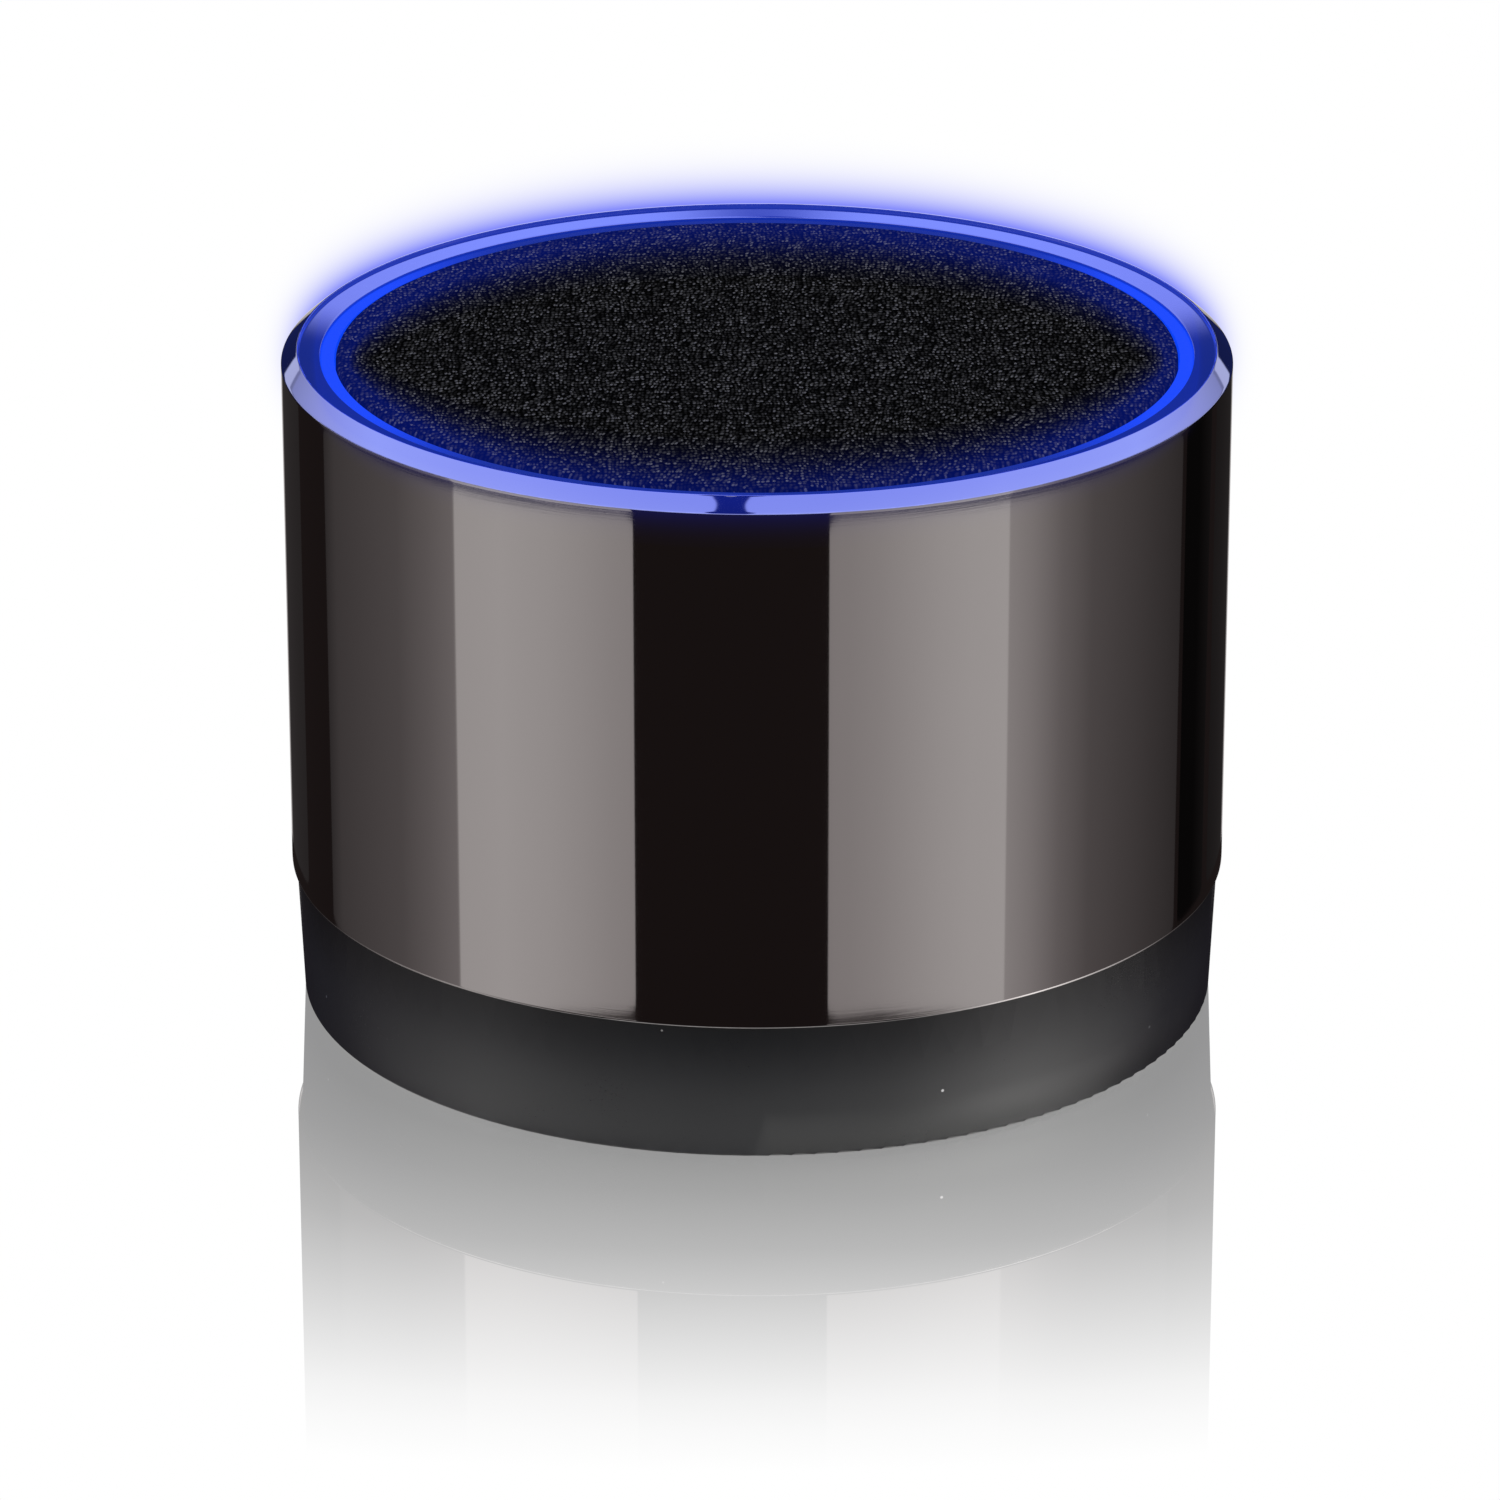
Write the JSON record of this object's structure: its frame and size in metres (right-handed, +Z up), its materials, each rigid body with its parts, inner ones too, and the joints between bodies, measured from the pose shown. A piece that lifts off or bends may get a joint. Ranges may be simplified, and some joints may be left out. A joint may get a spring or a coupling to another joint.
{
  "type": "bluetooth audio receiver",
  "caption": "Round tabletop Bluetooth receiver and loudspeaker with gloss metal shell, lit ring, cloth grille, matt base and rear sockets and keys.",
  "frame": {"origin": "centre of the foot ring's face that rests on the table", "axes": "+Z up through the loudspeaker, +Y towards the back where the sockets are, +X to the right seen from the front"},
  "size_m": [0.066, 0.066, 0.0475],
  "materials": {
    "shell": "gloss black anodised aluminium with a bright cut edge",
    "base_plastic": "fine matt",
    "cover_plastic": "fine matt",
    "foot_rubber": "matt",
    "screw_black": "black zinc",
    "chassis_plastic": "moulded",
    "led_board": "white solder mask",
    "led_package": "moulded package",
    "ceramic_chip": "fired",
    "light_guide": "frosted, lit blue",
    "bezel_gloss": "gloss",
    "grille_steel": "black powder coat",
    "grille_cloth": "fine knit",
    "basket_steel": "black lacquer",
    "gasket_foam": "foam",
    "screw_zinc": "zinc",
    "zinc_plate": "zinc",
    "ferrite": "ground ferrite",
    "former_film": "amber film",
    "coil_copper": "wound enamelled copper",
    "cone_paper": "pressed paper",
    "dust_cap": "satin",
    "surround_rubber": "satin",
    "spider_cloth": "resin-dipped weave",
    "phenolic": "phenolic board",
    "tinned_tabs": "tinned",
    "main_board": "green solder mask",
    "chip_mould": "moulded",
    "capacitor_can": "can",
    "connector_nylon": "nylon",
    "antenna_ceramic": "glazed",
    "mic_can": "can",
    "boot_rubber": "matt",
    "port_steel": "nickel",
    "port_tongue": "moulded",
    "jack_plastic": "moulded",
    "contact_gold": "gold flash",
    "switch_mould": "moulded",
    "switch_steel": "nickel",
    "lever_plastic": "moulded",
    "knob_plastic": "fine matt",
    "battery_pouch": "laminate foil",
    "protection_tape": "amber film tape",
    "foam_tape": "foam",
    "lead_red_black": "vinyl",
    "lead_speaker": "vinyl",
    "lead_led": "vinyl",
    "key_plastic": "fine matt",
    "plunger_plastic": "moulded"
  },
  "bodies": {
    "base": {"shell": "shell", "base_housing": "base_plastic", "bottom_cover": "cover_plastic", "foot_ring": "foot_rubber", "cover_screws": "screw_black", "chassis": "chassis_plastic", "led_board": "led_board", "ring_leds": "led_package", "led_resistors": "ceramic_chip", "light_ring": "light_guide", "bezel_ring": "bezel_gloss", "grille_plate": "grille_steel", "grille_cloth": "grille_cloth", "driver_basket": "basket_steel", "driver_gasket": "gasket_foam", "driver_screws": "screw_zinc", "top_plate": "zinc_plate", "magnet": "ferrite", "yoke": "zinc_plate", "cone_surround": "surround_rubber", "spider": "spider_cloth", "terminal_strip": "phenolic", "solder_tabs": "tinned_tabs", "main_board": "main_board", "board_screws": "screw_zinc", "board_chips": "chip_mould", "board_capacitors": "capacitor_can", "board_connectors": "connector_nylon", "chip_antenna": "antenna_ceramic", "microphone": "mic_can", "microphone_boot": "boot_rubber", "charging_port_shell": "port_steel", "charging_port_tongue": "port_tongue", "aux_jack": "jack_plastic", "aux_contacts": "contact_gold", "key_switches": "switch_mould", "power_switch_body": "switch_steel", "battery": "battery_pouch", "battery_protection": "protection_tape", "battery_tape": "foam_tape", "battery_leads": "lead_red_black", "speaker_leads": "lead_speaker", "led_leads": "lead_led"},
    "cone": {"driver_cone": "cone_paper", "dust_cap": "dust_cap", "coil_former": "former_film", "voice_coil": "coil_copper"},
    "power_slide": {"power_knob": "knob_plastic", "switch_lever": "lever_plastic"},
    "volume_down": {"volume_down_key": "key_plastic", "volume_down_plunger": "plunger_plastic"},
    "play": {"play_key": "key_plastic", "play_plunger": "plunger_plastic"},
    "volume_up": {"volume_up_key": "key_plastic", "volume_up_plunger": "plunger_plastic"}
  },
  "joints": [
    {"name": "cone_travel", "type": "slide", "parent": "base", "child": "cone", "axis": [0, 0, 1], "range_m": [-0.001, 0.001], "stiffness_N_per_m": 1600, "deforming": ["cone_surround", "spider"]},
    {"name": "power_slide_travel", "type": "slide", "parent": "base", "child": "power_slide", "axis": [0.9455, 0.3256, 0], "range_m": [0, 0.002]},
    {"name": "volume_down_press", "type": "slide", "parent": "base", "child": "volume_down", "axis": [0.8829, -0.4695, 0], "range_m": [0, 0.0003], "stiffness_N_per_m": 1500},
    {"name": "play_press", "type": "slide", "parent": "base", "child": "play", "axis": [0.766, -0.6428, 0], "range_m": [0, 0.0003], "stiffness_N_per_m": 1500},
    {"name": "volume_up_press", "type": "slide", "parent": "base", "child": "volume_up", "axis": [0.6157, -0.788, 0], "range_m": [0, 0.0003], "stiffness_N_per_m": 1500}
  ]
}
